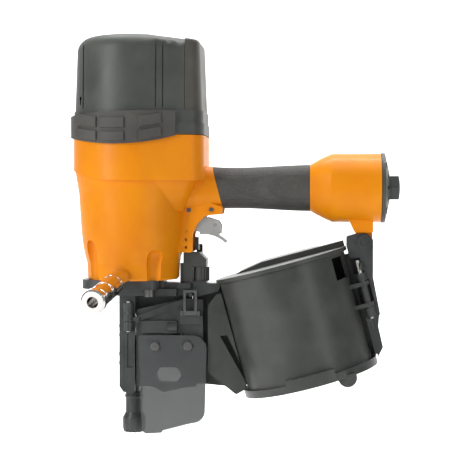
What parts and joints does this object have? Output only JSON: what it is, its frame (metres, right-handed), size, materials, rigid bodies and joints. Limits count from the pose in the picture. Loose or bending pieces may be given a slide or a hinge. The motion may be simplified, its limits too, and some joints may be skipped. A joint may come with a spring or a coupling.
{
  "type": "pneumatic nail gun",
  "caption": "Pneumatic coil nail gun: orange barrel and handle, dark cylinder head, side-opening canister, clear nose guard and a bright side handle.",
  "frame": {"origin": "centre of the contact shoe's mouth, on the drive axis", "axes": "+Z along the drive axis away from the work, +X rearward along the handle, -Y the tool's left side, where the nose door and canister open"},
  "size_m": [0.3281, 0.2079, 0.394],
  "materials": {
    "orange_paint": "satin",
    "cap_plastic": "matt",
    "exhaust_plastic": "matt",
    "bumper_rubber": "matt",
    "grip_rubber": "dimpled",
    "black_casting": "satin",
    "magazine_plastic": "satin",
    "chrome": "polished",
    "trigger_alloy": "satin",
    "steel": "satin",
    "bright_steel": "satin",
    "alloy": "machined",
    "seal_rubber": "matt",
    "smoke_clear": "gloss",
    "red_plastic": "gloss"
  },
  "bodies": {
    "tool_frame": {"main_housing": "orange_paint", "cylinder_cap": "cap_plastic", "exhaust_cover": "exhaust_plastic", "cap_bolts": "steel", "cap_gasket": "seal_rubber", "bumper_band": "bumper_rubber", "cylinder_liner": "alloy", "liner_seals": "seal_rubber", "piston_stop": "seal_rubber", "head_valve_seal": "seal_rubber", "head_valve_spring": "bright_steel", "grip_sleeve": "grip_rubber", "trigger_valve_body": "magazine_plastic", "valve_spring": "bright_steel", "housing_pins": "steel", "end_cap": "cap_plastic", "end_cap_gasket": "seal_rubber", "end_cap_screws": "steel", "air_inlet": "black_casting", "side_handle": "chrome", "side_handle_stud": "bright_steel", "base_plate": "black_casting", "base_bolts": "steel", "nose_body": "black_casting", "nose_bolts": "steel", "hinge_pins": "bright_steel", "feed_cylinder": "black_casting", "trip_spring": "bright_steel", "trip_guide": "magazine_plastic", "magazine_arm": "black_casting", "magazine_shell": "magazine_plastic", "magazine_top": "magazine_plastic", "platform_post": "magazine_plastic", "magazine_bracket": "black_casting", "bracket_bolt": "black_casting"},
    "driver": {"piston": "alloy", "piston_seal": "seal_rubber", "driver_blade": "bright_steel"},
    "head_valve": {"head_valve": "alloy"},
    "trigger": {"trigger": "trigger_alloy", "lever_pin": "bright_steel"},
    "trip_lever": {"trip_lever": "steel"},
    "trigger_valve": {"valve_plunger": "bright_steel"},
    "contact_trip": {"contact_shoe": "black_casting", "contact_arm": "black_casting"},
    "depth_wheel": {"depth_wheel": "magazine_plastic"},
    "feed_piston": {"feed_piston": "alloy", "feed_pawl_pin": "bright_steel"},
    "feed_pawl": {"feed_pawl": "steel"},
    "nose_door": {"nose_door": "black_casting", "door_plate": "black_casting", "shield": "smoke_clear", "shield_screws": "steel", "latch_bracket": "steel", "check_pawl_pin": "bright_steel"},
    "door_latch": {"door_latch": "steel"},
    "check_pawl": {"check_pawl": "steel"},
    "canister_cover": {"canister_cover": "magazine_plastic"},
    "nail_platform": {"nail_platform": "magazine_plastic"},
    "inlet_plug": {"inlet_plug": "red_plastic"}
  },
  "joints": [
    {"name": "driver_stroke", "type": "slide", "parent": "tool_frame", "child": "driver", "axis": [0, 0, -1], "range_m": [0, 0.104]},
    {"name": "head_valve_lift", "type": "slide", "parent": "tool_frame", "child": "head_valve", "axis": [0, 0, 1], "range_m": [0, 0.004], "stiffness_N_per_m": 1500, "springref_m": -0.012, "deforming": ["head_valve_spring"]},
    {"name": "trigger_pull", "type": "hinge", "parent": "tool_frame", "child": "trigger", "pos_m": [0.0573, 0, 0.223], "axis": [0, -1, 0], "range_deg": [0, 8], "stiffness_Nm_per_rad": 0.6, "springref_deg": -14.32},
    {"name": "lever_swing", "type": "hinge", "parent": "trigger", "child": "trip_lever", "pos_m": [0.083, 0, 0.208], "axis": [0, 1, 0], "range_deg": [0, 14.2]},
    {"name": "valve_stem_push", "type": "slide", "parent": "tool_frame", "child": "trigger_valve", "axis": [0, 0, 1], "range_m": [0, 0.0035], "deforming": ["valve_spring"]},
    {"name": "contact_trip_push", "type": "slide", "parent": "tool_frame", "child": "contact_trip", "axis": [0, 0, 1], "range_m": [0, 0.01], "stiffness_N_per_m": 400, "springref_m": -0.01, "deforming": ["trip_spring"]},
    {"name": "depth_wheel_turn", "type": "hinge", "parent": "tool_frame", "child": "depth_wheel", "pos_m": [0.0685, 0, 0.159], "axis": [0, 0, 1], "range_deg": [0, 340]},
    {"name": "feed_stroke", "type": "slide", "parent": "tool_frame", "child": "feed_piston", "axis": [1, 0, 0], "range_m": [0, 0.008], "stiffness_N_per_m": 500, "springref_m": -0.008},
    {"name": "feed_pawl_swing", "type": "hinge", "parent": "feed_piston", "child": "feed_pawl", "pos_m": [0.012, 0.0176, 0.107], "axis": [0, 0, -1], "range_deg": [0, 10], "stiffness_Nm_per_rad": 0.05, "springref_deg": -11.46},
    {"name": "door_swing", "type": "hinge", "parent": "tool_frame", "child": "nose_door", "pos_m": [-0.003, -0.017, 0.117], "axis": [0, 0, -1], "range_deg": [0, 75]},
    {"name": "latch_swing", "type": "hinge", "parent": "nose_door", "child": "door_latch", "pos_m": [0.059, -0.019, 0.121], "axis": [1, 0, 0], "range_deg": [0, 100]},
    {"name": "check_pawl_swing", "type": "hinge", "parent": "nose_door", "child": "check_pawl", "pos_m": [0.049, -0.0085, 0.094], "axis": [0, 0, 1], "range_deg": [0, 15], "stiffness_Nm_per_rad": 0.05, "springref_deg": -11.46},
    {"name": "cover_swing", "type": "hinge", "parent": "tool_frame", "child": "canister_cover", "pos_m": [0.23088, -0.014, 0.14364], "axis": [-0.2588, 0, 0.9659], "range_deg": [0, 100]},
    {"name": "platform_height", "type": "slide", "parent": "tool_frame", "child": "nail_platform", "axis": [-0.2588, 0, 0.9659], "range_m": [0, 0.045]},
    {"name": "inlet_plug_pull", "type": "slide", "parent": "tool_frame", "child": "inlet_plug", "axis": [1, 0, 0], "range_m": [0, 0.08]}
  ],
  "couplings": [
    {"joint": "lever_swing", "follows": "contact_trip_push", "rad_per_m": 24.435},
    {"joint": "valve_stem_push", "follows": "trigger_pull", "m_per_rad": 0.022918}
  ]
}
